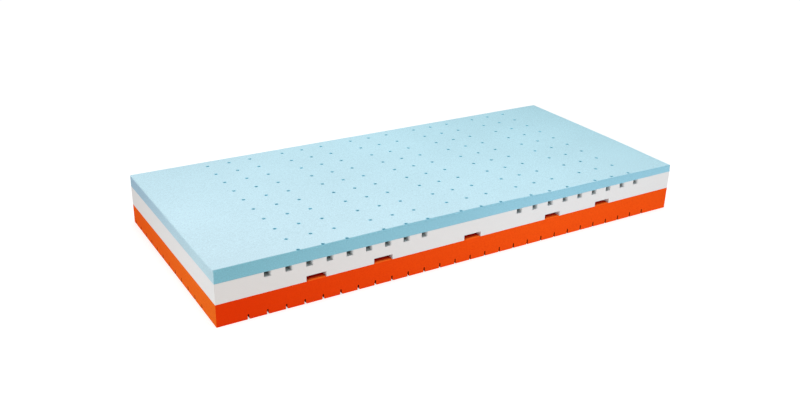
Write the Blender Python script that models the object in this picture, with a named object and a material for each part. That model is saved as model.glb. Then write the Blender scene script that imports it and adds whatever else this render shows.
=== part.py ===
"""A single-bed foam mattress core: three foam slabs glued face to face.

Metres, +Z up. X runs along the sleeper, Y across. The origin is the middle of the footprint, on the
surface that the core lies on.

From the bottom up: a springy base slab whose underside is cross-cut by slits, a middle slab with wide
slots under it and narrow vent channels over it, and a memory foam slab that is punched with air holes.
Glue holds them, in thin strips on the faces that meet, and there is none over a slot or a channel.

A longer or wider core gets more slits, channels and holes at the same pitch, and not wider-spaced ones.
"""

import math

import bmesh
import bpy
from mathutils import Matrix, Vector

# The mattress
LENGTH = 2.000
WIDTH = 0.900
BASE_HEIGHT = 0.084
MIDDLE_HEIGHT = 0.073
TOP_HEIGHT = 0.041
TOP_EDGE_ROUND = 0.005
TOP_EDGE_STEPS = 2

# Glue: a film, with a hair of clearance to the foam on both sides of it
GLUE_FILM = 0.0004
CONTACT_GAP = 0.0003
GLUE_INSET = 0.006

# Slits under the base slab, the same each way. A start is from the -X end or -Y side to the first
# slit's middle, and a margin is the least that stays between the last one's and the other end or side
SLIT_WIDTH = 0.006
SLIT_DEPTH = 0.019
SLIT_PITCH = 0.0675
CROSS_SLIT_START = 0.1095
CROSS_SLIT_MARGIN = 0.130
LONG_SLIT_START = 0.133
LONG_SLIT_MARGIN = 0.020

# Wide slots under the middle slab, all the way across: one in the middle, and two towards each end
SLOT_WIDTH = 0.074
SLOT_DEPTH = 0.019
SLOT_FROM_END = 0.363
SLOT_PAIR_PITCH = 0.258
SLOTS_SHIFT_X = -0.008

# Vent channels over the middle slab, all the way across, in a group towards each end
CHANNEL_WIDTH = 0.022
CHANNEL_DEPTH = 0.018
CHANNEL_PITCH = 0.075
CHANNEL_FROM_END = 0.188
CHANNEL_FREE_MIDDLE = 0.400
CHANNELS_SHIFT_X = -0.009

# Air holes through the memory foam, in groups of three columns, with the rows a little nearer to one side
HOLE_DIAMETER = 0.010
HOLE_SIDES = 8
HOLE_COLUMN_PITCH = 0.090
HOLE_COLUMNS_IN_GROUP = 3
HOLE_GROUP_PITCH = 0.323
HOLE_GROUP_START = 0.385
HOLE_GROUP_MARGIN = 0.290
HOLE_ROW_PITCH = 0.093
HOLE_ROW_MARGIN = 0.031
HOLES_SHIFT_Y = -0.020

# How far a cutter reaches past the face that it cuts
CUT_OVERSHOOT = 0.005

# Linear colours, each with the roughness of its foam
MEMORY_BLUE = ((0.56, 0.81, 0.90, 1.0), 0.85)
MIDDLE_WHITE = ((0.80, 0.80, 0.80, 1.0), 0.90)
BASE_ORANGE = ((0.80, 0.07, 0.004, 1.0), 0.90)
GLUE_CREAM = ((0.85, 0.83, 0.76, 1.0), 0.45)


def bond_height():
    """The height between two slabs: the glue film and its two clearances."""
    return GLUE_FILM + 2 * CONTACT_GAP


def middle_floor():
    return BASE_HEIGHT + bond_height()


def middle_ceiling():
    return middle_floor() + MIDDLE_HEIGHT


def top_floor():
    return middle_ceiling() + bond_height()


def how_many(room, pitch):
    """How many places, one pitch apart, there are from one end of the room to the other."""
    return 1 + math.floor(room / pitch)


def centred_row(count, pitch, centre=0.0):
    return [centre + (k - (count - 1) / 2) * pitch for k in range(count)]


def row_from_start(side, start, margin, pitch):
    """Places along a side that is centred on 0, from its start to its margin at the other end."""
    count = how_many(side - start - margin, pitch)
    return [start - side / 2 + k * pitch for k in range(count)]


def slot_places():
    outer = LENGTH / 2 - SLOT_FROM_END
    inner = outer - SLOT_PAIR_PITCH
    return [SLOTS_SHIFT_X + x for x in (-outer, -inner, 0.0, inner, outer)]


def channel_places():
    outer = LENGTH / 2 - CHANNEL_FROM_END
    count = how_many(outer - CHANNEL_FREE_MIDDLE / 2, CHANNEL_PITCH)
    group = [outer - k * CHANNEL_PITCH for k in range(count)]
    return sorted(CHANNELS_SHIFT_X + side * x for side in (-1, 1) for x in group)


def hole_places():
    """(x, y) of every air hole."""
    columns = []
    for centre in row_from_start(LENGTH, HOLE_GROUP_START, HOLE_GROUP_MARGIN, HOLE_GROUP_PITCH):
        columns += centred_row(HOLE_COLUMNS_IN_GROUP, HOLE_COLUMN_PITCH, centre)
    row_count = how_many(WIDTH - 2 * HOLE_ROW_MARGIN, HOLE_ROW_PITCH)
    rows = centred_row(row_count, HOLE_ROW_PITCH, HOLES_SHIFT_Y)
    return [(x, y) for x in columns for y in rows]


def clear_scene():
    for obj in list(bpy.data.objects):
        bpy.data.objects.remove(obj)


def new_collection(name):
    collection = bpy.data.collections.new(name)
    bpy.context.scene.collection.children.link(collection)
    return collection


def foam_material(name, finish):
    colour, roughness = finish
    material = bpy.data.materials.new(name)
    material.use_nodes = True
    shader = material.node_tree.nodes["Principled BSDF"]
    shader.inputs["Base Color"].default_value = colour
    shader.inputs["Roughness"].default_value = roughness
    shader.inputs["Metallic"].default_value = 0.0
    material.diffuse_color = colour
    return material


def add_box(mesh, size, centre):
    place = Matrix.Translation(centre) @ Matrix.Diagonal((*size, 1.0))
    bmesh.ops.create_cube(mesh, size=1.0, matrix=place)


def finish_object(mesh, name, collection, material=None):
    """Turns a bmesh into an object of that name, in that collection."""
    data = bpy.data.meshes.new(name)
    mesh.to_mesh(data)
    mesh.free()
    obj = bpy.data.objects.new(name, data)
    collection.objects.link(obj)
    if material:
        data.materials.append(material)
    return obj


def make_cutter(mesh, name, collection):
    cutter = finish_object(mesh, name, collection)
    cutter.hide_render = True
    cutter.display_type = "WIRE"
    return cutter


def cut_away(obj, cutter):
    modifier = obj.modifiers.new("Cut " + cutter.name, "BOOLEAN")
    modifier.operation = "DIFFERENCE"
    modifier.solver = "EXACT"
    modifier.object = cutter


def slit_cutter(name, along_x, cutters):
    """Thin blades standing under the slab: one set runs across the bed, the other along it."""
    mesh = bmesh.new()
    height = SLIT_DEPTH + CUT_OVERSHOOT
    middle_z = SLIT_DEPTH - height / 2
    if along_x:
        size = (LENGTH + 2 * CUT_OVERSHOOT, SLIT_WIDTH, height)
        for y in row_from_start(WIDTH, LONG_SLIT_START, LONG_SLIT_MARGIN, SLIT_PITCH):
            add_box(mesh, size, Vector((0, y, middle_z)))
    else:
        size = (SLIT_WIDTH, WIDTH + 2 * CUT_OVERSHOOT, height)
        for x in row_from_start(LENGTH, CROSS_SLIT_START, CROSS_SLIT_MARGIN, SLIT_PITCH):
            add_box(mesh, size, Vector((x, 0, middle_z)))
    return make_cutter(mesh, name, cutters)


def make_base_slab(parts, cutters):
    mesh = bmesh.new()
    add_box(mesh, (LENGTH, WIDTH, BASE_HEIGHT), Vector((0, 0, BASE_HEIGHT / 2)))
    slab = finish_object(mesh, "cross_cut_base_slab", parts, foam_material("Base foam", BASE_ORANGE))
    cut_away(slab, slit_cutter("cross_slit_blades", False, cutters))
    cut_away(slab, slit_cutter("long_slit_blades", True, cutters))


def notches(places, width, edge, depth):
    """Outline points of square notches cut from a level edge, from left to right."""
    points = []
    for x in places:
        left = x - width / 2
        right = x + width / 2
        points += [(left, edge), (left, edge + depth), (right, edge + depth), (right, edge)]
    return points


def middle_outline():
    """The middle slab seen from its long side, counter-clockwise from the lower left corner."""
    half = LENGTH / 2
    floor = middle_floor()
    ceiling = middle_ceiling()
    under = notches(slot_places(), SLOT_WIDTH, floor, SLOT_DEPTH)
    over = notches(channel_places(), CHANNEL_WIDTH, ceiling, -CHANNEL_DEPTH)
    return [(-half, floor), *under, (half, floor), (half, ceiling), *over[::-1], (-half, ceiling)]


def make_middle_slab(parts):
    """The outline as a filled flat curve, extruded across the bed."""
    outline = middle_outline()
    curve = bpy.data.curves.new("vented_middle_slab", "CURVE")
    curve.dimensions = "2D"
    curve.fill_mode = "BOTH"
    curve.extrude = WIDTH / 2
    spline = curve.splines.new("POLY")
    spline.points.add(len(outline) - 1)
    for point, (x, z) in zip(spline.points, outline):
        point.co = (x, z, 0, 1)
    spline.use_cyclic_u = True
    slab = bpy.data.objects.new("vented_middle_slab", curve)
    slab.rotation_euler = (math.pi / 2, 0, 0)
    parts.objects.link(slab)
    curve.materials.append(foam_material("Middle foam", MIDDLE_WHITE))


def hole_cutter(cutters):
    mesh = bmesh.new()
    middle_z = top_floor() + TOP_HEIGHT / 2
    for x, y in hole_places():
        bmesh.ops.create_cone(
            mesh,
            cap_ends=True,
            segments=HOLE_SIDES,
            radius1=HOLE_DIAMETER / 2,
            radius2=HOLE_DIAMETER / 2,
            depth=TOP_HEIGHT + 2 * CUT_OVERSHOOT,
            matrix=Matrix.Translation((x, y, middle_z)),
        )
    return make_cutter(mesh, "air_hole_punches", cutters)


def make_memory_slab(parts, cutters):
    """A box whose upper rim and upright corners are softened, then punched."""
    mesh = bmesh.new()
    mid_height = top_floor() + TOP_HEIGHT / 2
    add_box(mesh, (LENGTH, WIDTH, TOP_HEIGHT), Vector((0, 0, mid_height)))
    soft_edges = [edge for edge in mesh.edges if any(v.co.z > mid_height for v in edge.verts)]
    bmesh.ops.bevel(
        mesh,
        geom=soft_edges,
        offset=TOP_EDGE_ROUND,
        segments=TOP_EDGE_STEPS,
        profile=0.5,
        affect="EDGES",
    )
    slab = finish_object(mesh, "memory_foam_slab", parts, foam_material("Memory foam", MEMORY_BLUE))
    cut_away(slab, hole_cutter(cutters))


def lands_between(places, width):
    """(start, end) of each stretch of the slab's length that the cuts at these places leave whole."""
    half = LENGTH / 2
    edges = [-half, *(x + side * width / 2 for x in places for side in (-1, 1)), half]
    return list(zip(edges[0::2], edges[1::2]))


def make_glue_strips(prefix, places, cut_width, film_floor, material, parts):
    """One thin strip of glue on each land, held back from the land's edges."""
    for number, (start, end) in enumerate(lands_between(places, cut_width), 1):
        mesh = bmesh.new()
        size = (end - start - 2 * GLUE_INSET, WIDTH - 2 * GLUE_INSET, GLUE_FILM)
        add_box(mesh, size, Vector(((start + end) / 2, 0, film_floor + GLUE_FILM / 2)))
        finish_object(mesh, f"{prefix}_{number:02d}", parts, material)


def main():
    clear_scene()
    parts = new_collection("Foam mattress core")
    cutters = new_collection("Cutters")
    make_base_slab(parts, cutters)
    make_middle_slab(parts)
    make_memory_slab(parts, cutters)
    glue = foam_material("Glue", GLUE_CREAM)
    lower_film = BASE_HEIGHT + CONTACT_GAP
    upper_film = middle_ceiling() + CONTACT_GAP
    make_glue_strips("lower_glue_strip", slot_places(), SLOT_WIDTH, lower_film, glue, parts)
    make_glue_strips("upper_glue_strip", channel_places(), CHANNEL_WIDTH, upper_film, glue, parts)


main()
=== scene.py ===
import math

import bpy
import numpy as np
from mathutils import Matrix, Vector


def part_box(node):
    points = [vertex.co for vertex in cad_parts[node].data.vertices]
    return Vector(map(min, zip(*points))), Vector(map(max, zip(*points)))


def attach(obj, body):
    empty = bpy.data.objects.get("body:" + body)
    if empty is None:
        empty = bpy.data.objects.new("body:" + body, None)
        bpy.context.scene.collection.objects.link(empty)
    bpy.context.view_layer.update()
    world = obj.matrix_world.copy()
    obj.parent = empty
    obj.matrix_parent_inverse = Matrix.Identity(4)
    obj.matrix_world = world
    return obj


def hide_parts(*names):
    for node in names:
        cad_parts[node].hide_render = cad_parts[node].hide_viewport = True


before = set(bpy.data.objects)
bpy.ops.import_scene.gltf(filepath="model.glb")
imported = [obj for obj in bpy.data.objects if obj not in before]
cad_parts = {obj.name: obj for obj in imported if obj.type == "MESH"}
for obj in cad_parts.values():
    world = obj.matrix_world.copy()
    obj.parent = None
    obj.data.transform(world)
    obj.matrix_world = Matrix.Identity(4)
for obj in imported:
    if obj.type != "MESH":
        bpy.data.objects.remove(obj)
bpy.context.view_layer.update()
print("frame loaded:", len(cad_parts), "nodes")

viewPoint = dict(place=(-1.805, -2.816, 1.531), azimuth=-31.995, elevation=23.701, roll=1.703, lens=40.26)

studio = dict(
    sky=0.31,                       # strength of the white surroundings
    backdrop=1.05,                  # and how bright they look to the camera itself
    floorReach=3.2,                 # the pale sweep ends this far out, and plain white goes on behind it
    floorDrop=0.0005,               # it lies this far below the mattress's foot
    floorTone=(0.60, 0.60, 0.60),
    floorLines=(-0.035, -0.02, 0, 0.012, 0.03, 0.07, 0.12, 0.2),    # measured outwards from the foot
    hidden=0.03,                    # further in under the mattress than this, the sweep doesn't glow
    glowAtFoot=0.68,                # the sweep glows a little, so hardly any shadow is left
    glowNear=0.60,
    glowFar=0.90,
    footFade=0.45,                  # how far out the foot's glow has faded to the near one,
    farFade=(0.05, 2.0),            # and where the near one gives way to the far one
)

softboxes = [
    dict(name="overhead", place=(0.0, 0.1, 2.6), aim=(-0.05, 0.05, 0.15), size=(3.4, 2.4), watts=45),
    dict(name="keyLeft", place=(-2.4, -0.5, 1.2), aim=(-0.9, -0.3, 0.12), size=(1.0, 1.0), watts=8),
    dict(name="front", place=(-1.0, -3.6, 2.2), aim=(0.1, -0.2, 0.1), size=(1.2, 0.9), watts=14),
    dict(name="fillRight", place=(0.9, -2.8, 1.0), aim=(0.7, -0.4, 0.08), size=(1.4, 1.0), watts=9,
         tone=(0.95, 0.98, 1.0)),
]


def setCamera(view):
    # turned about Z by the azimuth, tipped down by the elevation, then rolled about its own axis
    turn = (Matrix.Rotation(math.radians(view["azimuth"]), 4, "Z")
            @ Matrix.Rotation(math.radians(90 - view["elevation"]), 4, "X")
            @ Matrix.Rotation(math.radians(view["roll"]), 4, "Z"))
    data = bpy.data.cameras.new("studioCamera")
    data.lens = view["lens"]
    data.sensor_width = 36
    data.clip_end = 100
    camera = bpy.data.objects.new("studioCamera", data)
    camera.matrix_world = Matrix.Translation(view["place"]) @ turn
    bpy.context.scene.collection.objects.link(camera)
    bpy.context.scene.camera = camera


def addSoftbox(box):
    # a glowing rectangle at its place, turned to face its aim
    data = bpy.data.lights.new(box["name"], "AREA")
    data.shape = "RECTANGLE"
    data.size, data.size_y = box["size"]
    data.energy = box["watts"]
    data.color = box.get("tone", (1, 1, 1))
    light = bpy.data.objects.new(box["name"], data)
    aim = (Vector(box["aim"]) - Vector(box["place"])).to_track_quat("-Z", "Y").to_matrix().to_4x4()
    light.matrix_world = Matrix.Translation(box["place"]) @ aim
    bpy.context.scene.collection.objects.link(light)


hair = 1e-4     # what is nearer than this, in metres, is taken to touch


def makePiece(name, points, faces):
    # a smooth-shaded mesh of four-cornered faces, with its place in its points
    mesh = bpy.data.meshes.new(name)
    mesh.vertices.add(len(points))
    mesh.vertices.foreach_set("co", np.asarray(points, np.float32).ravel())
    mesh.loops.add(faces.size)
    mesh.loops.foreach_set("vertex_index", faces.astype(np.int32).ravel())
    mesh.polygons.add(len(faces))
    mesh.polygons.foreach_set("loop_start", np.arange(0, faces.size, 4, dtype=np.int32))
    mesh.update(calc_edges=True)
    mesh.validate()
    mesh.shade_smooth()
    piece = bpy.data.objects.new(name, mesh)
    bpy.context.scene.collection.objects.link(piece)
    return piece


def roundEdges(piece, width, segments, angle):
    # a narrow bevel on the edges that turn by more than the angle
    bevel = piece.modifiers.new("softEdges", "BEVEL")
    bevel.width = width
    bevel.segments = segments
    bevel.limit_method = "ANGLE"
    bevel.angle_limit = math.radians(angle)
    bevel.harden_normals = True
    bevel.use_clamp_overlap = True


def paint(piece, name, values):
    # one number a point, which the material reads by name
    layer = piece.data.attributes.new(name, "FLOAT", "POINT")
    layer.data.foreach_set("value", np.asarray(values, np.float32))


def latticeSkin(xs, ys, zs, full):
    # Space is cut by planes at xs, ys and zs, and full says which of the cells hold foam.
    # The skin has one four-cornered face wherever a full cell meets an empty one.
    number = np.arange(len(xs) * len(ys) * len(zs)).reshape(len(xs), len(ys), len(zs))
    padded = np.pad(full, 1)
    faces = []
    for axis in range(3):
        order = [axis, (axis + 1) % 3, (axis + 2) % 3]
        n = number.transpose(order)
        cells = padded.transpose(order)
        below = cells[:-1, 1:-1, 1:-1]
        above = cells[1:, 1:-1, 1:-1]
        corners = np.stack([n[:, :-1, :-1], n[:, 1:, :-1], n[:, 1:, 1:], n[:, :-1, 1:]], -1)
        faces += [corners[below & ~above], corners[above & ~below][:, ::-1]]
    used, faces = np.unique(np.concatenate(faces), return_inverse=True)
    i, j, k = np.unravel_index(used, number.shape)
    return np.stack([xs[i], ys[j], zs[k]], 1), faces.reshape(-1, 4)


def waves(a, b, lengths, seed):
    # a sum of cosines, each with its own length and a random direction and phase, between -1 and 1
    rng = np.random.default_rng(seed)
    total = np.zeros(np.shape(a))
    for length in lengths:
        heading, phase = rng.uniform(0, 2 * np.pi, 2)
        total = total + np.cos(2 * np.pi * (a * np.cos(heading) + b * np.sin(heading)) / length + phase)
    return total / len(lengths)


def ease(value, start, end):
    # 0 at start, 1 at end, and level at both
    t = np.clip((value - start) / (end - start), 0, 1)
    return t * t * (3 - 2 * t)


def bulge(value, middle, reach):
    # a bell with its top of 1 at the middle
    return np.exp(-(((value - middle) / reach) ** 2))


def between(low, high, step):
    # evenly spaced lines strictly between two others, about a step apart
    count = max(int(round((high - low) / step)), 1)
    return np.linspace(low, high, count + 1)[1:-1]


def fillGaps(lines, step):
    # the sorted lines, with evenly spaced ones put in wherever a gap is wider than about a step
    lines = np.unique(np.round(lines, 6))
    return np.unique(np.concatenate([lines] + [between(a, b, step) for a, b in zip(lines[:-1], lines[1:])]))


def touches(values, mark):
    # which values are at the mark, but for a hair
    return np.abs(values - mark) < hair


def onSides(values, half):
    # which points lie on either of two opposite sides, half a width from the middle
    return touches(np.abs(values), half)


def wandering(across, along, z, half, most, lengths, seed):
    # How far a sawn side has wandered inward, signed as its points are: on the side, a sum of waves along it
    # and up it, scaled to run from 0 to the most that it strays, and nothing elsewhere.
    depth = most * (0.5 + 0.5 * waves(along, z, lengths, seed))
    return onSides(across, half) * np.sign(across) * depth


def nodePoints(name):
    # the corners of a CAD node's mesh
    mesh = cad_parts[name].data
    points = np.empty(len(mesh.vertices) * 3)
    mesh.vertices.foreach_get("co", points)
    return points.reshape(-1, 3)


def cutsAt(name, level, axis):
    # the distinct coordinates at a level, without the slab's two ends, are the low and high edge of each cut
    points = nodePoints(name)
    edges = points[touches(points[:, 2], level), axis]
    return np.unique(np.round(edges, 5))[1:-1].reshape(-1, 2)


def holeLines(name, level, axis, corner=0.0055, gap=0.02):
    # The coordinates round each row of holes lie close together, with a gap to the next row. Those of the
    # slab's own rounded corners, at both ends, are left out.
    points = nodePoints(name)
    values = np.unique(np.round(points[touches(points[:, 2], level), axis], 5))
    values = values[(values > values[0] + corner) & (values < values[-1] - corner)]
    steps = np.flatnonzero(np.diff(values) > gap)
    lows = values[np.r_[0, steps + 1]]
    highs = values[np.r_[steps, len(values) - 1]]
    return (lows + highs) / 2, (highs - lows) / 2


def inside(middles, cuts):
    # which of the middles lie in one of the cuts
    return ((middles[:, None] > cuts[:, 0]) & (middles[:, None] < cuts[:, 1])).any(1)


def middlesOf(lines):
    # halfway between each line and the next
    return (lines[:-1] + lines[1:]) / 2


baseLow, baseHigh = [np.array(corner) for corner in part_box("cross_cut_base_slab")]
middleLow, middleHigh = [np.array(corner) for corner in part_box("vented_middle_slab")]
topLow, topHigh = [np.array(corner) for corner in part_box("memory_foam_slab")]
crossSlits = cutsAt("cross_cut_base_slab", baseLow[2], 0)
longSlits = cutsAt("cross_cut_base_slab", baseLow[2], 1)
wideSlots = cutsAt("vented_middle_slab", middleLow[2], 0)
channels = cutsAt("vented_middle_slab", middleHigh[2], 0)


def levelsInside(name):
    # the heights of a slab's horizontal faces, without its foot and its top
    levels = np.unique(np.round(nodePoints(name)[:, 2], 5))
    return levels[1:-1]


layers = dict(
    lowerJoint=(-0.0020, 0.0075, -0.0070),      # how far the joints stray from level: near left corner,
    upperJoint=(-0.0025, 0.0065, -0.0060),      # right end and far left corner
)


def settle(x, y, z):
    # Slabs sawn from soft blocks aren't quite even. Each joint's stray height is bilinear in plan, and the
    # levels between the floor, the two joints and the lying surface follow in proportion.
    right = (x - baseLow[0]) / (baseHigh[0] - baseLow[0])
    far = (y - baseLow[1]) / (baseHigh[1] - baseLow[1])
    joints = ((baseHigh[2] + middleLow[2]) / 2, (middleHigh[2] + topLow[2]) / 2)
    strays = []
    for nearLeft, rightEnd, farLeft in (layers["lowerJoint"], layers["upperJoint"]):
        strays.append((nearLeft + (farLeft - nearLeft) * far) * (1 - right) + rightEnd * right)
    levels = np.array([baseLow[2], *joints, topHigh[2]])
    shifts = np.stack([0 * x, *strays, 0 * x])
    span = np.clip(np.searchsorted(levels, z) - 1, 0, 2)
    share = (z - levels[span]) / (levels[span + 1] - levels[span])
    column = np.arange(len(x))
    return z + shifts[span, column] * (1 - share) + shifts[span + 1, column] * share


slitTop = levelsInside("cross_cut_base_slab")[0]
slotTop, channelFloor = levelsInside("vented_middle_slab")[[0, -1]]
print("cuts:", len(crossSlits), "cross slits,", len(longSlits), "long slits,", len(wideSlots), "slots,",
      len(channels), "channels")


baseSlab = dict(
    slitNeck=0.0026,        # half widths of the slits
    slitTip=0.0023,
    mouthLeft=0.0027,       # the slits open out at the foot, and further towards +X
    mouthRight=0.0060,
    calmMouth=0.0030,       # except on the right of the slab, where the foam has kept closed
    calmFade=(-0.55, 0.1),  # between these places along X
    flareHeight=0.0038,
    crown=0.0038,           # the foam swells where the slots leave it free
    crownLines=13,          # across each slot
    crownAtSide=0.35,       # share of the swelling that is left right at the side
    lip=0.009,              # and is rounded over this depth at the slots' ends
    lipTone=(0.005, 0.011),     # the lip's painted highlight ends between these depths, and the slot floor's painted shade begins between these
    floorTone=(0.005, 0.016),   # and the slot floor's begins between these
    sideLines=(0, 0.0004, 0.0012, 0.0026, 0.0050, 0.009, 0.012, 0.018),     # inwards from the sides
    endLines=(0, 0.001, 0.003),     # inwards from the ends
    rimLine=0.0015,         # downwards from the top
    steps=(0.03, 0.035),    # how wide the faces are elsewhere, along and across
    wander=0.0007,          # how far the saw strayed inward at most,
    frontWaves=(0.61, 0.33, 0.17),      # in waves this long along the sides
    endWaves=(0.5, 0.27),               # and across the ends
    edge=0.0010,
)


def halfWidths(z, mouth, slab):
    # from the mouth to the neck in a straight flare, then slowly down to the tip
    flare = np.clip((z - baseLow[2]) / slab["flareHeight"], 0, 1)
    neck = mouth + (slab["slitNeck"] - mouth) * flare
    return neck + (slab["slitTip"] - slab["slitNeck"]) * ease(z, baseLow[2] + slab["flareHeight"], slitTop)


def narrow(along, z, cuts, calm, slab):
    # a point on the edge of a slit keeps to its half width about the slit's own middle line
    centres = cuts.mean(1)
    nearest = centres[np.abs(along[:, None] - centres).argmin(1)]
    half = (cuts[0, 1] - cuts[0, 0]) / 2
    offset = along - nearest
    onEdge = onSides(offset, half)
    mouth = np.where(offset > 0, slab["mouthRight"], slab["mouthLeft"])
    mouth = mouth + (slab["calmMouth"] - mouth) * calm
    return np.where(onEdge, nearest + np.sign(offset) * halfWidths(z, mouth, slab), along), onEdge


def makeBase(slab):
    # a block of cells without those in the slits, whose skin is then pushed into shape
    crownLines = np.linspace(wideSlots[:, 0], wideSlots[:, 1], slab["crownLines"]).ravel()
    endLines = np.array(slab["endLines"])
    sideLines = np.array(slab["sideLines"])
    xs = np.r_[baseLow[0] + endLines, crossSlits.ravel(), crownLines, baseHigh[0] - endLines]
    xs = fillGaps(xs, slab["steps"][0])
    ys = np.r_[baseLow[1] + sideLines, longSlits.ravel(), baseHigh[1] - sideLines]
    ys = fillGaps(ys, slab["steps"][1])
    zs = np.r_[baseLow[2], baseLow[2] + slab["flareHeight"], np.linspace(slitTop, baseHigh[2], 5)]
    zs = np.sort(np.r_[zs, baseHigh[2] - slab["rimLine"]])
    cutX = inside(middlesOf(xs), crossSlits)
    cutY = inside(middlesOf(ys), longSlits)
    cutZ = middlesOf(zs) < slitTop
    full = ~((cutX[:, None, None] | cutY[None, :, None]) & cutZ[None, None, :])
    points, faces = latticeSkin(xs, ys, zs, full)
    x, y, z = points.T.copy()
    calm = ease(x, *slab["calmFade"])
    newX, slitX = narrow(x, z, crossSlits, calm, slab)
    newY, slitY = narrow(y, z, longSlits, 1.0, slab)
    # crown: flat in the middle of each slot and round at its walls, times a quarter ellipse at the sides
    slotMiddle = wideSlots.mean(1)
    near = slotMiddle[np.abs(x[:, None] - slotMiddle).argmin(1)]
    across = np.clip(np.abs(x - near) / ((wideSlots[0, 1] - wideSlots[0, 0]) / 2), 0, 1)
    sideDepth = baseHigh[1] - np.abs(y)
    depth = np.clip(sideDepth / slab["lip"], 0, 1)
    rounding = slab["crownAtSide"] + (1 - slab["crownAtSide"]) * np.sqrt(1 - (1 - depth) ** 2)
    newZ = z + touches(z, baseHigh[2]) * slab["crown"] * (1 - across**4) * rounding
    newY = newY - wandering(y, x, z, baseHigh[1], slab["wander"], slab["frontWaves"], seed=11)
    newX = newX - wandering(x, y, z, baseHigh[0], slab["wander"], slab["endWaves"], seed=12)
    newZ = settle(x, y, newZ)
    piece = makePiece("crossCutBase", np.stack([newX, newY, newZ], 1), faces)
    walls = slitX & ~onSides(y, baseHigh[1]) | slitY & ~onSides(x, baseHigh[0])
    # painted shade: the slits' walls are marked for a near-black tone
    paint(piece, "inSlit", walls & (z < slitTop + hair))
    freeTop = touches(z, baseHigh[2]) & (across < 1)
    # painted highlight on the slots' lips, and painted shade on the slots' floors further in
    paint(piece, "lip", freeTop * (1 - ease(sideDepth, *slab["lipTone"])))
    paint(piece, "inSlot", freeTop * ease(sideDepth, *slab["floorTone"]))
    roundEdges(piece, slab["edge"], segments=2, angle=40)
    return piece


middleSlab = dict(
    lip=0.005,              # the glued faces swell towards their edges over this width
    gap=0.0001,             # what is left between two glued slabs at the edge
    wander=0.0005,          # how far the saw strayed inward at most,
    frontWaves=(0.7, 0.41, 0.2),        # in waves this long along the sides
    endWaves=(0.45, 0.3),               # and across the ends
    edge=0.0006,
    mouthFlare=0.0035,      # the channels' walls on the +X side give way at their ends
    flareDepth=0.010,
    shadeDepth=0.035,       # the channels' painted shade darkens inwards over this depth
    sideLines=(0, 0.005, 0.010, 0.018, 0.026, 0.035),       # inwards from the long sides
    steps=(0.04, 0.05),     # how wide the faces are elsewhere, along and across
)


def makeMiddle(slab):
    # a block of cells without those in the slots and channels, whose skin is then pushed into shape
    lip = slab["lip"]
    low, high = middleLow, middleHigh
    xs = np.r_[low[0], low[0] + lip, high[0] - lip, high[0]]
    for cuts in (wideSlots, channels):
        xs = np.r_[xs, cuts.ravel(), cuts[:, 0] - lip, cuts[:, 1] + lip]
    xs = fillGaps(xs, slab["steps"][0])
    sideLines = np.array(slab["sideLines"])
    ys = fillGaps(np.r_[low[1] + sideLines, high[1] - sideLines], slab["steps"][1])
    zs = np.r_[low[2], np.linspace(slotTop, channelFloor, 4), high[2]]
    slotX = inside(middlesOf(xs), wideSlots)
    channelX = inside(middlesOf(xs), channels)
    cutLow = slotX[:, None] & (middlesOf(zs) < slotTop)[None, :]
    cutHigh = channelX[:, None] & (middlesOf(zs) > channelFloor)[None, :]
    full = np.repeat(~(cutLow | cutHigh)[:, None, :], len(ys) - 1, axis=1)
    points, faces = latticeSkin(xs, ys, zs, full)
    x, y, z = points.T.copy()

    def swell(cuts):
        # 1 on the outline and on the edges of the cuts, and 0 a lip's width away from them
        edges = np.r_[low[0], cuts.ravel(), high[0]]
        away = np.minimum(np.abs(x[:, None] - edges).min(1), high[1] - np.abs(y))
        return 1 - np.clip(away / lip, 0, 1)

    newZ = z - touches(z, low[2]) * swell(wideSlots) * (low[2] - baseHigh[2] - slab["gap"])
    newZ = newZ + touches(z, high[2]) * swell(channels) * (topLow[2] - high[2] - slab["gap"])
    newY = y - wandering(y, x, z, high[1], slab["wander"], slab["frontWaves"], seed=21)
    newX = x - wandering(x, y, z, high[0], slab["wander"], slab["endWaves"], seed=22)
    # the flare grows with the square of the share of its depth
    sideDepth = high[1] - np.abs(y)
    endShare = np.clip(1 - sideDepth / slab["flareDepth"], 0, 1)
    aboveFloor = z > channelFloor - hair
    onWall = touches(x[:, None], channels[:, 1]).any(1) & aboveFloor
    newX = newX + onWall * slab["mouthFlare"] * endShare**2
    newZ = settle(x, y, newZ)
    piece = makePiece("ventedMiddle", np.stack([newX, newY, newZ], 1), faces)
    inChannel = inside(x, channels + np.array([-hair, hair])) & aboveFloor
    # painted shade: the channels' walls and floor are marked darker the further in they lie
    paint(piece, "depth", inChannel * np.clip(sideDepth / slab["shadeDepth"], 0, 1))
    roundEdges(piece, slab["edge"], segments=2, angle=40)
    return piece


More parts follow.
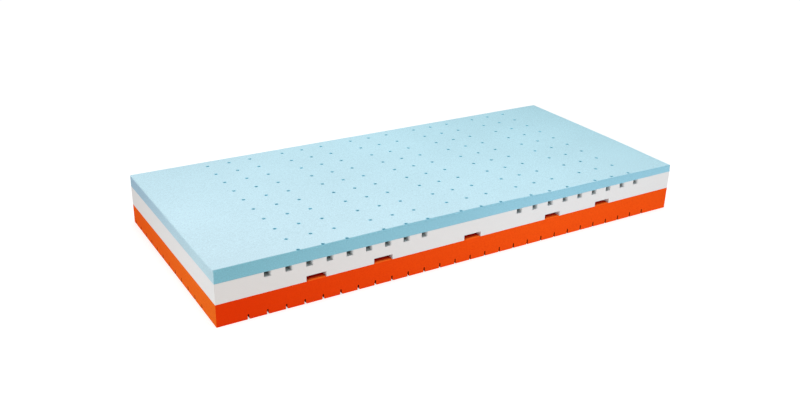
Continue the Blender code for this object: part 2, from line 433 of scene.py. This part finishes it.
topSlab = dict(
    holeSides=5,            # steps along each side of a hole's square, so four times as many round the hole
    holeGrowth=0.0010,      # the soft rims have opened a little
    holeRim=0.0006,
    wallLines=(0.014, 0.028),       # upwards along the walls of the holes
    blendReach=0.0095,      # how far from a hole the mesh goes over from round to square
    rimLines=(0, 0.0008, 0.0020, 0.0038, 0.0060),   # inwards and downwards from the upper rim
    sideLines=(0.009, 0.013, 0.02, 0.03),           # further down the sides
    step=0.024,             # how wide the faces are elsewhere
    crispEdge=0.0030,       # radius of the upper edge at the near left corner
    softEdge=0.0050,        # and along the rest of the front,
    softFade=(-0.75, -0.15),        # reached between these places along X
    footEdge=0.0008,        # radius at the foot,
    footReach=0.022,        # which goes over to the upper edge's within this height
    cornerDroop=0.0045,     # the right front corner hangs lower
    droopReach=(0.22, 0.2),         # along and across
    curl=0.0060,            # the front edge has lifted by up to this much,
    curlReach=0.090,        # fading over this depth,
    curlHumps=((1.0, -0.15, 0.42), (0.55, -0.85, 0.3)),     # in two humps: share, middle and reach along X
    ripple=0.0004,          # the lying surface is uneven by this much, in waves of these lengths
    rippleLengths=(0.42, 0.23, 0.31, 0.13, 0.09),
    shoulder=(0.0045, 0.0015),      # how far in the painted shade strip goes above the front, at left and at right
    shoulderFade=(0.1, 0.4),
    sideBand=0.02,          # only points this near to a side can take its tone,
    sideToneDepth=0.005,    # which comes in over this depth
)


def squareRing(xs, ys, i0, i1, j0, j1):
    # the lattice points round one hole's square, counterclockwise and closed
    i = np.r_[np.arange(i0, i1), np.full(j1 - j0, i1), np.arange(i1, i0, -1), np.full(j1 - j0, i0), i0]
    j = np.r_[np.full(i1 - i0, j0), np.arange(j0, j1), np.full(i1 - i0, j1), np.arange(j1, j0, -1), j0]
    return np.stack([xs[i], ys[j]], 1)


def wallOf(path, levels, inward):
    # a path in plan carried straight up through the levels, one quad for each step along and up
    points = np.empty((len(path), len(levels), 3))
    points[..., :2] = path[:, None, :]
    points[..., 2] = levels
    number = np.arange(len(path) * len(levels)).reshape(len(path), len(levels))
    faces = np.stack([number[:-1, :-1], number[1:, :-1], number[1:, 1:], number[:-1, 1:]], -1).reshape(-1, 4)
    return points.reshape(-1, 3), faces[:, ::-1] if inward else faces


def sheetOf(xs, ys, level, keep, upward):
    # a flat lattice of quads at one level, without the cells that are not kept
    points = np.stack(np.meshgrid(xs, ys, [level], indexing="ij"), -1).reshape(-1, 3)
    number = np.arange(len(xs) * len(ys)).reshape(len(xs), len(ys))
    faces = np.stack([number[:-1, :-1], number[1:, :-1], number[1:, 1:], number[:-1, 1:]], -1)[keep]
    return points, faces if upward else faces[:, ::-1]


def weld(patches):
    # the patches' points are joined where they agree to a hundredth of a millimetre
    points = np.concatenate([p for p, _ in patches])
    starts = np.cumsum([0] + [len(p) for p, _ in patches[:-1]])
    faces = np.concatenate([f + start for (_, f), start in zip(patches, starts)])
    _, first, back = np.unique(np.round(points, 5), axis=0, return_index=True, return_inverse=True)
    return points[first], back.ravel()[faces]


def roundHoles(x, y, columns, rows, radius, reach):
    # Near a hole a square ring of half width s becomes a circle of radius s: a point that lies a share v/u
    # along its side goes to the angle of 45 degrees times v/u. The change fades out at the reach.
    u = x - columns[np.abs(x[:, None] - columns).argmin(1)]
    v = y - rows[np.abs(y[:, None] - rows).argmin(1)]
    s = np.maximum(np.abs(u), np.abs(v))
    share = np.clip((reach - s) / (reach - radius), 0, 1) * (s > 1e-9)
    wide = np.abs(u) >= np.abs(v)
    safe = np.where(s > 1e-9, np.where(wide, u, v), 1.0)
    angle = np.pi / 4 * np.where(wide, v, u) / safe
    side = np.sign(safe) * s
    circleU = np.where(wide, side * np.cos(angle), side * np.sin(angle))
    circleV = np.where(wide, side * np.sin(angle), side * np.cos(angle))
    return x + share * (circleU - u), y + share * (circleV - v)


def edgeRadius(x, y, z, slab):
    # crisp round the near left corner and along the left end, soft along the front and the right end
    soft = ease(x, *slab["softFade"])
    radius = slab["crispEdge"] + (slab["softEdge"] - slab["crispEdge"]) * soft
    foot = ease(z, topLow[2], topLow[2] + slab["footReach"])
    return slab["footEdge"] + (radius - slab["footEdge"]) * foot


def makeTop(slab):
    # two sheets and the walls between them, welded, then rounded at the rim and round the holes
    low, high = topLow, topHigh
    columns, columnHalf = holeLines("memory_foam_slab", low[2], 0)
    rows, _ = holeLines("memory_foam_slab", low[2], 1)
    radius = columnHalf.mean() + slab["holeGrowth"]
    print("holes:", len(columns), "columns,", len(rows), "rows, radius", round(radius * 1000, 2), "mm")
    rim = np.array(slab["rimLines"])
    reach = slab["blendReach"]
    ring = np.r_[-reach, np.linspace(-radius, radius, slab["holeSides"] + 1), reach]

    def lines(axis, centres):
        ends = np.r_[low[axis] + rim, high[axis] - rim]
        return fillGaps(np.r_[ends, (centres[:, None] + ring).ravel()], slab["step"])

    xs = lines(0, columns)
    ys = lines(1, rows)
    holeX = np.abs(middlesOf(xs)[:, None] - columns).min(1) < radius
    holeY = np.abs(middlesOf(ys)[:, None] - rows).min(1) < radius
    keep = ~(holeX[:, None] & holeY[None, :])
    drops = np.r_[rim, slab["sideLines"]]
    levels = np.unique(np.round(np.r_[low[2], low[2] + slab["footEdge"], high[2] - drops], 6))
    outline = squareRing(xs, ys, 0, len(xs) - 1, 0, len(ys) - 1)
    patches = [
        sheetOf(xs, ys, high[2], keep, True),
        sheetOf(xs, ys, low[2], keep, False),
        wallOf(outline, levels, False),
    ]
    wallLevels = np.r_[low[2], low[2] + np.array(slab["wallLines"]), high[2]]
    for cx in columns:
        i0, i1 = [int(np.abs(xs - (cx + side * radius)).argmin()) for side in (-1, 1)]
        for cy in rows:
            j0, j1 = [int(np.abs(ys - (cy + side * radius)).argmin()) for side in (-1, 1)]
            patches.append(wallOf(squareRing(xs, ys, i0, i1, j0, j1), wallLevels, True))
    points, faces = weld(patches)
    x, y, z = points.T.copy()
    sideways = np.minimum(high[0] - np.abs(x), high[1] - np.abs(y))
    # rounding: each point near the outline moves to its radius from the core that is that much smaller
    r = edgeRadius(x, y, z, slab)
    core = np.stack([np.clip(x, low[0] + r, high[0] - r), np.clip(y, low[1] + r, high[1] - r),
                     np.clip(z, low[2] + r, high[2] - r)], 1)
    away = points - core
    length = np.maximum(np.linalg.norm(away, axis=1), 1e-9)
    rounded = core + away * (r / length)[:, None]
    points = np.where((sideways < r)[:, None], rounded, points)
    x, y, z = points.T.copy()
    share = (z - low[2]) / (high[2] - low[2])
    reachX, reachY = slab["droopReach"]
    droop = slab["cornerDroop"] * bulge(x, high[0], reachX) * bulge(y, low[1], reachY)
    bumps = slab["ripple"] * waves(x, y, slab["rippleLengths"], seed=31)
    humps = sum(part * bulge(x, middle, spread) for part, middle, spread in slab["curlHumps"])
    curl = slab["curl"] * bulge(y, low[1], slab["curlReach"]) * humps
    newZ = settle(x, y, z) - share * (droop + slab["ripple"] - bumps - curl)
    newX, newY = roundHoles(x, y, columns, rows, radius, reach)
    piece = makePiece("memoryFoamTop", np.stack([newX, newY, newZ], 1), faces)
    fromHole = np.maximum(np.abs(x[:, None] - columns).min(1), np.abs(y[:, None] - rows).min(1))
    # marks the holes' walls, which the material paints with bounce light
    paint(piece, "inHole", (fromHole < radius + hair) * ease(high[2] - z, -hair, 2 * hair))
    # painted shade: the shoulder above the front takes the side tone a little way in, and further left of
    # the middle, standing in for the shade of a broader rounded shoulder
    wide, narrowed = slab["shoulder"]
    shoulder = wide + (narrowed - wide) * ease(x, *slab["shoulderFade"])
    shoulderShade = (y < low[1] + slab["sideBand"]) * (1 - ease(y - low[1], shoulder, 2.4 * shoulder))
    side = ease(high[2] - z, 0.0, slab["sideToneDepth"]) * (sideways < slab["sideBand"])
    paint(piece, "cutSide", np.maximum(side, shoulderShade))
    roundEdges(piece, slab["holeRim"], segments=3, angle=50)
    return piece


glueFilm = dict(
    ragged=0.0012,          # the outline's inward waves are up to twice this
    raggedLengths=(0.05, 0.083, 0.127),
    step=0.03,
)


def makeGlueStrip(name, film):
    # a thin film whose outline is a little ragged, lying along the joint
    low, high = [np.array(corner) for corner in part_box(name)]
    xs = fillGaps(np.r_[low[0], high[0]], film["step"])
    ys = fillGaps(np.r_[low[1], high[1]], film["step"])
    full = np.ones((len(xs) - 1, len(ys) - 1, 1), bool)
    points, faces = latticeSkin(xs, ys, np.array([low[2], high[2]]), full)
    x, y, z = points.T.copy()
    seed = int(low[0] * 1000) % 97      # each strip's own, from its place
    ragged = film["ragged"] * (1 + waves(x, y, film["raggedLengths"], seed))
    newX = x + ragged * (touches(x, low[0]).astype(float) - touches(x, high[0]))
    newY = y + ragged * (touches(y, low[1]).astype(float) - touches(y, high[1]))
    pieceName = name.replace("_", " ").title().replace(" ", "")
    return makePiece(pieceName, np.stack([newX, newY, settle(x, y, z)], 1), faces)


def wire(tree, kind, inputs=None, **settings):
    # adds a node, sets what it is given, and links what is a socket
    node = tree.nodes.new(kind)
    for name, value in settings.items():
        setattr(node, name, value)
    for name, value in (inputs or {}).items():
        if isinstance(value, bpy.types.NodeSocket):
            tree.links.new(value, node.inputs[name])
        else:
            node.inputs[name].default_value = value
    return node


def blendTones(tree, share, first, second, mode="MIX"):
    def tone(value):
        return value if isinstance(value, bpy.types.NodeSocket) else (*value, 1)
    node = wire(tree, "ShaderNodeMix", {0: share, 6: tone(first), 7: tone(second)}, data_type="RGBA",
                blend_type=mode)
    return node.outputs[2]


def remap(tree, value, fromLow, fromHigh, toLow, toHigh):
    node = wire(tree, "ShaderNodeMapRange", {"Value": value, "From Min": fromLow, "From Max": fromHigh,
                                             "To Min": toLow, "To Max": toHigh})
    return node.outputs["Result"]


def grainOf(tree, where, size, detail=2.0, rough=0.6):
    # noise with lumps of about this size in metres
    return wire(tree, "ShaderNodeTexNoise", {"Vector": where, "Scale": 1 / size, "Detail": detail,
                                             "Roughness": rough}).outputs["Fac"]


def poresOf(tree, where, spacing, radius, kept):
    # round spots about a spacing apart, of which only the kept share shows
    cells = wire(tree, "ShaderNodeTexVoronoi", {"Vector": where, "Scale": 1 / spacing})
    spot = remap(tree, cells.outputs["Distance"], radius / spacing * 0.6, radius / spacing, 1, 0)
    pick = wire(tree, "ShaderNodeSeparateColor", {"Color": cells.outputs["Color"]}).outputs[0]
    chosen = remap(tree, pick, 1 - kept, 1 - kept + 0.02, 0, 1)
    return mathOf(tree, "MULTIPLY", spot, chosen)


def mathOf(tree, operation, first, second):
    return wire(tree, "ShaderNodeMath", {0: first, 1: second}, operation=operation).outputs[0]


def painted(tree, name):
    # the number that paint() gave each point
    return wire(tree, "ShaderNodeAttribute", attribute_name=name).outputs["Fac"]


def startMaterial(name, roughness, sheen):
    # a matt foam's shader, with its even values set on its own sockets
    material = bpy.data.materials.new(name)
    material.use_nodes = True
    tree = material.node_tree
    shader = tree.nodes["Principled BSDF"]
    shader.inputs["Roughness"].default_value = roughness
    shader.inputs["Specular IOR Level"].default_value = 0.04
    shader.inputs["Sheen Weight"].default_value = sheen
    shader.inputs["Sheen Roughness"].default_value = 0.5
    where = wire(tree, "ShaderNodeTexCoord").outputs["Object"]
    return material, tree, shader, where


def finishSurface(tree, shader, colour, height, depth, strength):
    # the colour, and a fine relief from the same grain
    bump = wire(tree, "ShaderNodeBump", {"Height": height, "Distance": depth, "Strength": strength})
    tree.links.new(colour, shader.inputs["Base Color"])
    tree.links.new(bump.outputs["Normal"], shader.inputs["Normal"])


memoryFoam = dict(
    # the top's second tone, darker towards the far right, is painted shade
    top=(0.65, 0.87, 0.965),
    topFar=(0.52, 0.835, 0.945),
    # painted light and shade: the sides' tone is darker towards the left, the ends' tone paler where the
    # light falls on them and darker towards the far side
    side=(0.225, 0.50, 0.59),
    sideRight=(0.31, 0.61, 0.75),
    end=(0.51, 0.72, 0.80),
    endFar=(0.33, 0.50, 0.63),
    # the holes' walls get a saturated tone that stands in for light bounced between them: painted bounce
    # light
    hole=(0.0005, 0.62, 0.82),
    pore=(0.10, 0.36, 0.48),
    grains=((0.0009, 2.0, 0.14), (0.0045, 2.0, 0.10), (0.35, 1.0, 0.03)),   # lump size, detail, strength
    pores=((0.011, 0.0010, 0.30, 0.35), (0.06, 0.0019, 0.45, 0.7)),     # spacing, radius, share, strength
)

whiteFoam = dict(
    # painted light and shade: the sides' tone is darker towards the left, the ends' tone paler where the
    # light falls on them and darker towards the far side
    side=(0.75, 0.715, 0.69),
    sideRight=(0.82, 0.83, 0.835),
    end=(0.84, 0.84, 0.835),
    endFar=(0.76, 0.75, 0.74),
    shade=(0.76, 0.75, 0.74),
    # the channels' painted shade
    deep=(0.26, 0.25, 0.22),
    lumps=((0.0011, 0.3, 0.7, 0.35), (0.006, 0.35, 0.75, 0.25)),    # size, noise from and to, shade's share
)

orangeFoam = dict(
    # painted light and shade: the sides' tone is darker towards the left, the ends' tone paler where the
    # light falls on them and darker towards the far side
    side=(0.80, 0.040, 0.0010),
    sideRight=(0.98, 0.108, 0.006),
    end=(0.93, 0.185, 0.010),
    endFar=(0.90, 0.125, 0.003),
    shade=(0.70, 0.03, 0.001),
    # the slits' walls: painted shade
    slit=(0.06, 0.005, 0.001),
    # the slots' lips: painted highlight; the slots' floors further in: painted shade
    slotLip=(1.0, 0.15, 0.015),
    slotFloor=(0.52, 0.006, 0.0005),
    lumps=((0.0010, 0.3, 0.7, 0.35), (0.0035, 0.45, 0.75, 0.4)),    # size, noise from and to, shade's share
)


def sideToneWithPaintedLight(tree, where, look):
    # painted light and shade: the cut face's tone is darker towards the left along the slab, and the ends,
    # which face the light, are painted paler, darkening across them towards the far side
    along, across = wire(tree, "ShaderNodeSeparateXYZ", {0: where}).outputs[:2]
    side = blendTones(tree, remap(tree, along, -0.95, 0.3, 0, 1), look["side"], look["sideRight"])
    end = blendTones(tree, remap(tree, across, -0.3, 0.45, 0, 1), look["end"], look["endFar"])
    return blendTones(tree, facing(tree, 0), side, end)


def facing(tree, axis):
    # 1 where the surface faces along the axis, either way
    normal = wire(tree, "ShaderNodeNewGeometry").outputs["Normal"]
    part = wire(tree, "ShaderNodeSeparateXYZ", {0: normal}).outputs[axis]
    return mathOf(tree, "MULTIPLY", part, part)


def makeMemoryFoamMaterial(look):
    # The top's tone darkens along the diagonal towards the far right as painted shade, and the cut sides
    # have their own, with painted light and shade. Grains make both lighter and darker, pores darken spots,
    # and the holes' walls, in painted bounce light, go over it all.
    material, tree, shader, where = startMaterial("memoryFoam", 0.9, 0.03)
    along, across = wire(tree, "ShaderNodeSeparateXYZ", {0: where}).outputs[:2]
    diagonal = mathOf(tree, "ADD", along, across)
    top = blendTones(tree, remap(tree, diagonal, -1.35, 1.3, 0, 1), look["top"], look["topFar"])
    colour = blendTones(tree, painted(tree, "cutSide"), top, sideToneWithPaintedLight(tree, where, look))
    noises = [grainOf(tree, where, size, detail) for size, detail, _ in look["grains"]]
    for noise, (_, _, amount) in zip(noises, look["grains"]):
        tone = remap(tree, noise, 0.25, 0.75, 1 - amount, 1 + amount)
        grey = wire(tree, "ShaderNodeCombineColor", {0: tone, 1: tone, 2: tone}).outputs[0]
        colour = blendTones(tree, 1.0, colour, grey, "MULTIPLY")
    for spacing, radius, kept, strength in look["pores"]:
        spots = mathOf(tree, "MULTIPLY", poresOf(tree, where, spacing, radius, kept), strength)
        colour = blendTones(tree, spots, colour, look["pore"])
    # painted bounce light on the holes' walls
    colour = blendTones(tree, painted(tree, "inHole"), colour, look["hole"])
    finishSurface(tree, shader, colour, noises[0], 0.0005, 0.25)
    return material


def mottle(tree, where, colour, look):
    # lumps of each size turn the colour towards the shade, and the finest also serves as relief
    noises = [grainOf(tree, where, lump[0]) for lump in look["lumps"]]
    for noise, (_, start, end, amount) in zip(noises, look["lumps"]):
        colour = blendTones(tree, remap(tree, noise, start, end, 0, amount), colour, look["shade"])
    return colour, noises[0]


def makeWhiteFoamMaterial(look):
    # the mottled side tone, with its painted light and shade, which darkens into the channels as painted
    # shade
    material, tree, shader, where = startMaterial("whiteFoam", 0.95, 0.0)
    colour, fine = mottle(tree, where, sideToneWithPaintedLight(tree, where, look), look)
    colour = blendTones(tree, painted(tree, "depth"), colour, look["deep"])
    finishSurface(tree, shader, colour, fine, 0.0004, 0.2)
    return material


def makeOrangeFoamMaterial(look):
    # the mottled side tone with its painted light and shade, then the painted shade of the slits, the
    # painted highlight of the slots' lips and the painted shade of the slots' floors over it
    material, tree, shader, where = startMaterial("orangeFoam", 0.95, 0.0)
    colour, fine = mottle(tree, where, sideToneWithPaintedLight(tree, where, look), look)
    for layer, tone in (("inSlit", "slit"), ("lip", "slotLip"), ("inSlot", "slotFloor")):
        colour = blendTones(tree, painted(tree, layer), colour, look[tone])
    finishSurface(tree, shader, colour, fine, 0.0006, 0.3)
    return material


driedGlue = dict(thin=(0.86, 0.83, 0.74), thick=(0.70, 0.64, 0.50), lumps=0.004)


def makeGlueMaterial(look):
    # cream, with lumps where the film is thicker
    material, tree, shader, where = startMaterial("driedGlue", 0.45, 0.0)
    film = grainOf(tree, where, look["lumps"], 3.0)
    colour = blendTones(tree, remap(tree, film, 0.35, 0.65, 0, 1), look["thin"], look["thick"])
    finishSurface(tree, shader, colour, film, 0.0002, 0.4)
    return material


def makeFloor():
    # A flat lattice, with lines close together round the mattress's foot. Its glow eases from the foot's to
    # the near one and on to the far one, with the distance from the mattress's outline.
    steps = np.r_[studio["floorLines"], np.geomspace(0.3, studio["floorReach"], 9)]
    xs = np.r_[baseLow[0] - steps[::-1], baseHigh[0] + steps]
    ys = np.r_[baseLow[1] - steps[::-1], baseHigh[1] + steps]
    keep = np.ones((len(xs) - 1, len(ys) - 1), bool)
    points, faces = sheetOf(xs, ys, baseLow[2] - studio["floorDrop"], keep, True)
    floor = makePiece("studioFloor", points, faces)
    outX, outY = [np.abs(points[:, axis]) - baseHigh[axis] for axis in (0, 1)]
    away = np.hypot(np.maximum(outX, 0), np.maximum(outY, 0))
    under = np.maximum(outX, outY) < -studio["hidden"]
    glow = studio["glowNear"] + (studio["glowFar"] - studio["glowNear"]) * ease(away, *studio["farFade"])
    glow = glow + (studio["glowAtFoot"] - studio["glowNear"]) * (1 - ease(away, 0.0, studio["footFade"]))
    paint(floor, "glow", np.where(under, 0, glow))
    material = bpy.data.materials.new("paleSweep")
    material.use_nodes = True
    tree = material.node_tree
    shader = tree.nodes["Principled BSDF"]
    tree.links.new(painted(tree, "glow"), shader.inputs["Emission Strength"])
    shader.inputs["Base Color"].default_value = (*studio["floorTone"], 1)
    shader.inputs["Roughness"].default_value = 1.0
    shader.inputs["Specular IOR Level"].default_value = 0.0
    shader.inputs["Emission Color"].default_value = (1, 1, 1, 1)
    floor.data.materials.append(material)


def setSurroundings():
    # white all round: the backdrop's brightness where the camera sees it, the sky's where it gives light
    world = bpy.data.worlds.new("studioWhite")
    world.use_nodes = True
    tree = world.node_tree
    back = tree.nodes["Background"]
    back.inputs["Color"].default_value = (1, 1, 1, 1)
    seen = wire(tree, "ShaderNodeLightPath").outputs["Is Camera Ray"]
    strength = remap(tree, seen, 0, 1, studio["sky"], studio["backdrop"])
    tree.links.new(strength, back.inputs["Strength"])
    bpy.context.scene.world = world
    bpy.context.scene.view_settings.view_transform = "Standard"


setCamera(viewPoint)
setSurroundings()
makeFloor()
for box in softboxes:
    addSoftbox(box)
print("camera, floor and light set")

for maker, slab, material, node, slot in (
    (makeBase, baseSlab, makeOrangeFoamMaterial(orangeFoam), "cross_cut_base_slab", "base_foam"),
    (makeMiddle, middleSlab, makeWhiteFoamMaterial(whiteFoam), "vented_middle_slab", "middle_foam"),
    (makeTop, topSlab, makeMemoryFoamMaterial(memoryFoam), "memory_foam_slab", "memory_foam"),
):
    piece = maker(slab)
    piece.data.materials.append(material)
    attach(piece, "root")
    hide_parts(node)
    print(piece.name, "made with", len(piece.data.polygons), "faces before its edges are rounded")

glue = makeGlueMaterial(driedGlue)
for name in sorted(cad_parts):
    if "glue_strip" in name:
        strip = makeGlueStrip(name, glueFilm)
        strip.data.materials.append(glue)
        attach(strip, "root")
        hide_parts(name)
print("glue strips made")
